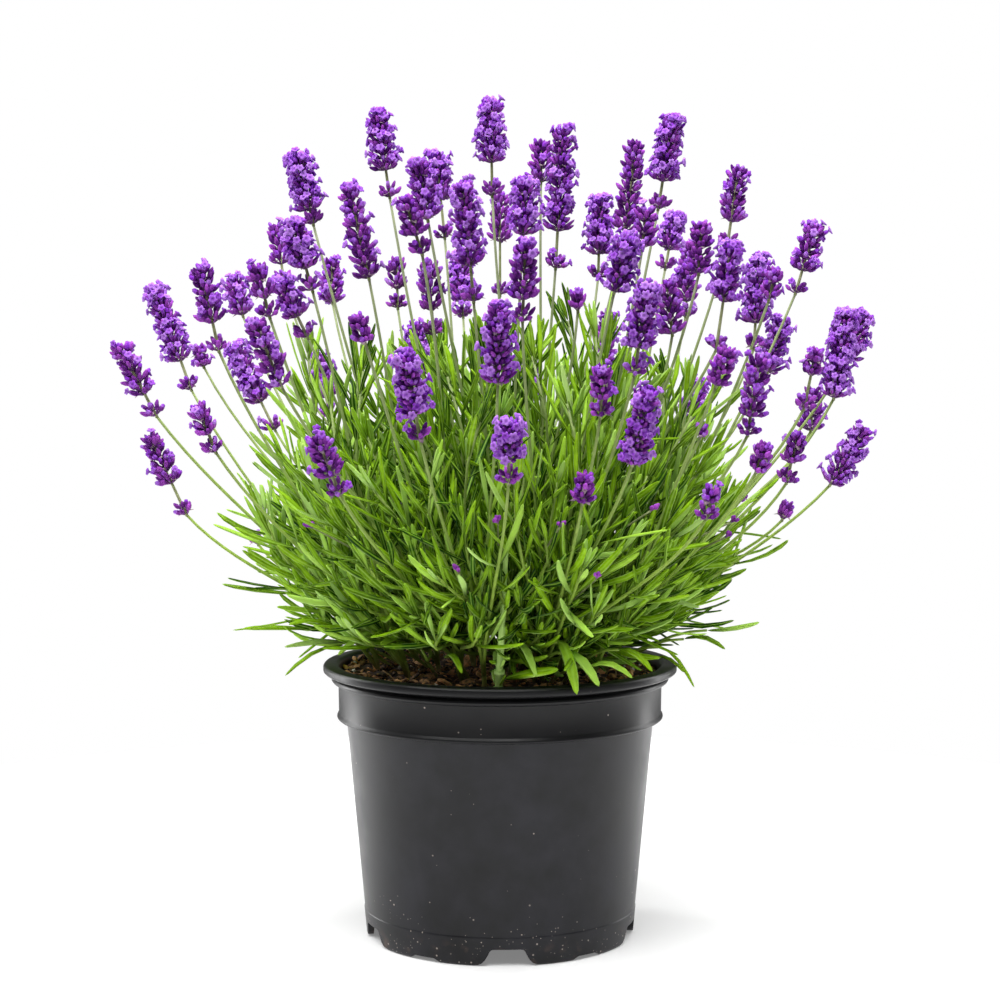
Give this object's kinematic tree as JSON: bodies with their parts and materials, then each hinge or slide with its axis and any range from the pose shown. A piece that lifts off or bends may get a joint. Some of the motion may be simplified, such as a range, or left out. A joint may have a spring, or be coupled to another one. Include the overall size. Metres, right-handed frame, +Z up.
{
  "type": "potted lavender",
  "caption": "Lavender plant in a round black plastic nursery pot, with soil, stems with narrow leaves, and violet flower heads on long stalks.",
  "frame": {"origin": "on the pot's axis, in the plane that its feet stand on", "axes": "+Z up along the pot's axis; -Y is the side seen in the picture; +X is to the right there"},
  "size_m": [0.4066, 0.3652, 0.447],
  "materials": {
    "pot_plastic": "satin",
    "soil": "matte",
    "greenery": "matte",
    "flowers": "matte"
  },
  "bodies": {
    "root": {"pot": "pot_plastic", "soil": "soil", "greenery": "greenery", "flower_head_01": "flowers", "flower_head_02": "flowers", "flower_head_03": "flowers", "flower_head_04": "flowers", "flower_head_05": "flowers", "flower_head_06": "flowers", "flower_head_07": "flowers", "flower_head_08": "flowers", "flower_head_09": "flowers", "flower_head_10": "flowers", "flower_head_11": "flowers", "flower_head_12": "flowers", "flower_head_13": "flowers", "flower_head_14": "flowers", "flower_head_15": "flowers", "flower_head_16": "flowers", "flower_head_17": "flowers", "flower_head_18": "flowers", "flower_head_19": "flowers", "flower_head_20": "flowers", "flower_head_21": "flowers", "flower_head_22": "flowers", "flower_head_23": "flowers", "flower_head_24": "flowers", "flower_head_25": "flowers", "flower_head_26": "flowers", "flower_head_27": "flowers", "flower_head_28": "flowers", "flower_head_29": "flowers", "flower_head_30": "flowers", "flower_head_31": "flowers", "flower_head_32": "flowers", "flower_head_33": "flowers", "flower_head_34": "flowers", "flower_head_35": "flowers", "flower_head_36": "flowers", "flower_head_37": "flowers", "flower_head_38": "flowers", "flower_head_39": "flowers", "flower_head_40": "flowers", "flower_head_41": "flowers", "flower_head_42": "flowers", "flower_head_43": "flowers", "flower_head_44": "flowers", "flower_head_45": "flowers", "flower_head_46": "flowers", "flower_head_47": "flowers", "flower_head_48": "flowers", "flower_head_49": "flowers", "flower_head_50": "flowers", "flower_head_51": "flowers", "flower_head_52": "flowers", "flower_head_53": "flowers", "flower_head_54": "flowers", "flower_head_55": "flowers", "flower_head_56": "flowers", "flower_head_57": "flowers"}
  },
  "joints": []
}
